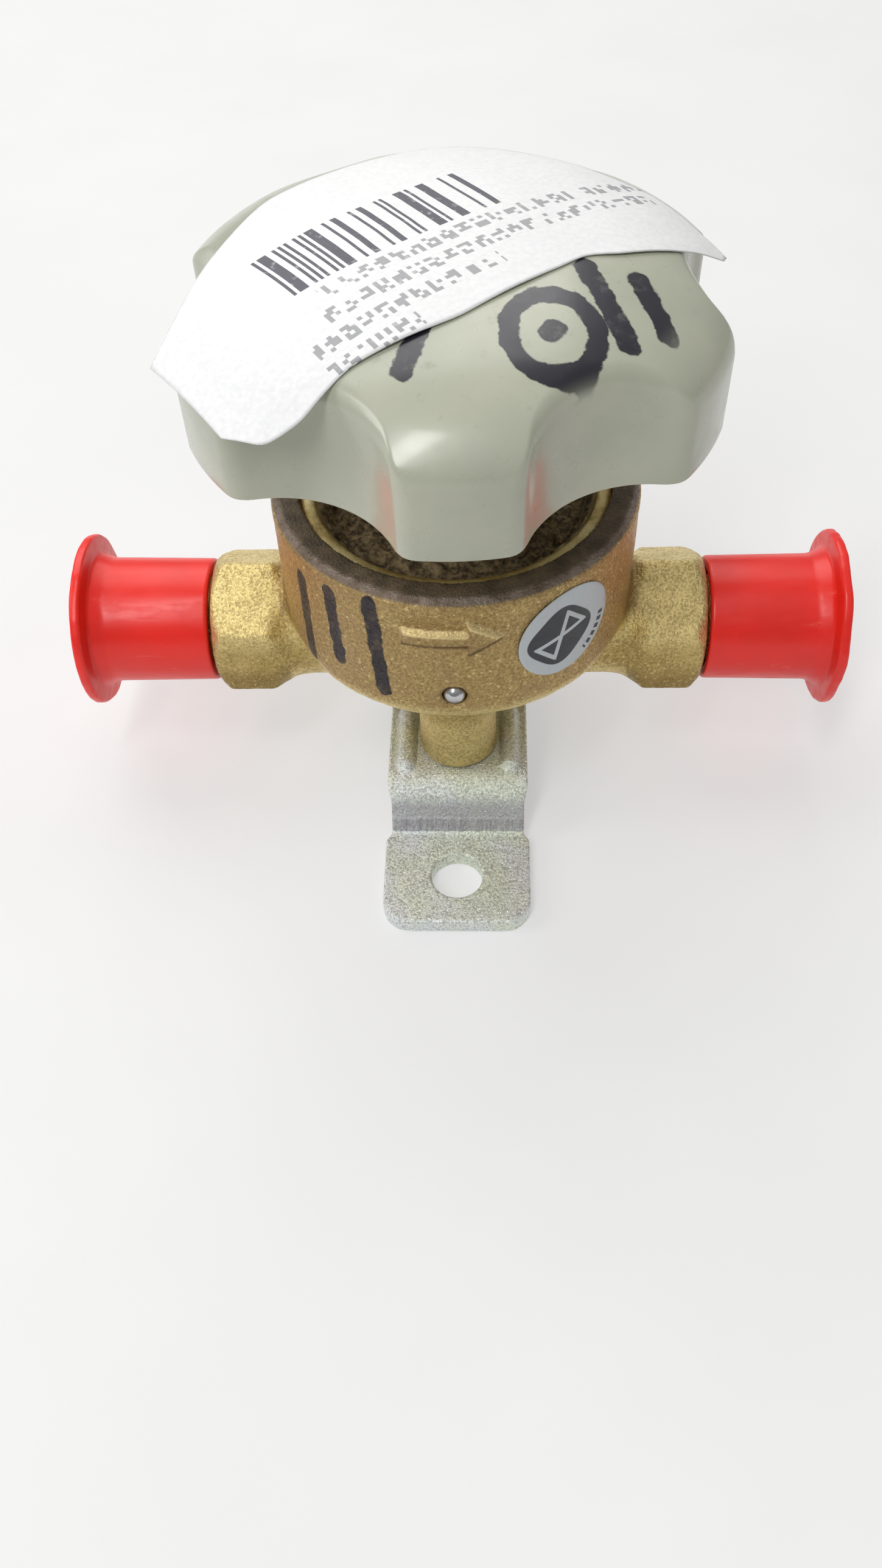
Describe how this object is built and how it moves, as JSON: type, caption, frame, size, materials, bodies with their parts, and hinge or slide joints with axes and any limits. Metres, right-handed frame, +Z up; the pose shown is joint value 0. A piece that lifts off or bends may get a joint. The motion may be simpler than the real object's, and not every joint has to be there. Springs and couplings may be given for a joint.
{
  "type": "diaphragm valve",
  "caption": "Small packless diaphragm valve with flare ends, lobed hand knob, foot bracket and push-on transit caps; turning the knob lifts the valve plate off its seat.",
  "frame": {"origin": "under the spindle's axis, in the plane that the bracket's feet stand on", "axes": "+Z up the spindle, +X along the ports the way the flow arrow points, -Y the side with the arrow"},
  "size_m": [0.0834, 0.064, 0.0616],
  "materials": {
    "forged_brass": "as forged, tarnished brown, granular",
    "turned_brass": "turned",
    "stainless": "ground",
    "zinc_steel": "zinc plated with a faint yellow passivation",
    "rubber": "matt",
    "nylon": "matt",
    "knob_plastic": "smooth grey-green moulding",
    "cap_plastic": "soft bright red moulding",
    "paper": "matt white",
    "sticker": "pale grey satin"
  },
  "bodies": {
    "housing": {"body": "forged_brass", "bonnet": "turned_brass", "diaphragm_lower": "stainless", "diaphragm_middle": "stainless", "diaphragm_upper": "stainless", "clamp_ring": "turned_brass", "spindle_oring": "rubber", "gland_washer": "nylon", "gland_snap_ring": "stainless", "return_spring": "stainless", "plug_ball": "stainless", "bracket": "zinc_steel", "bracket_screw_front": "zinc_steel", "bracket_screw_rear": "zinc_steel", "oval_sticker": "sticker"},
    "plunger": {"thrust_button": "stainless", "thrust_ball": "stainless", "valve_plate": "turned_brass", "seat_seal": "nylon", "seal_rivet": "turned_brass"},
    "handwheel": {"spindle": "stainless", "knob": "knob_plastic", "knob_insert": "turned_brass", "knob_clip": "stainless", "paper_label": "paper"},
    "inlet_cap_body": {"inlet_cap": "cap_plastic"},
    "outlet_cap_body": {"outlet_cap": "cap_plastic"}
  },
  "joints": [
    {"name": "valve_lift", "type": "slide", "parent": "housing", "child": "plunger", "axis": [0, 0, 1], "range_m": [0, 0.00125], "deforming": ["return_spring", "diaphragm_lower", "diaphragm_middle", "diaphragm_upper"]},
    {"name": "knob_turn", "type": "hinge", "parent": "plunger", "child": "handwheel", "pos_m": [0, 0, 0.054], "axis": [0, 0, 1], "range_deg": [0, 450]},
    {"name": "inlet_cap_pull", "type": "slide", "parent": "housing", "child": "inlet_cap_body", "axis": [-1, 0, 0], "range_m": [0, 0.016]},
    {"name": "outlet_cap_pull", "type": "slide", "parent": "housing", "child": "outlet_cap_body", "axis": [1, 0, 0], "range_m": [0, 0.016]}
  ],
  "couplings": [
    {"joint": "valve_lift", "follows": "knob_turn", "m_per_rad": 0.000159}
  ]
}
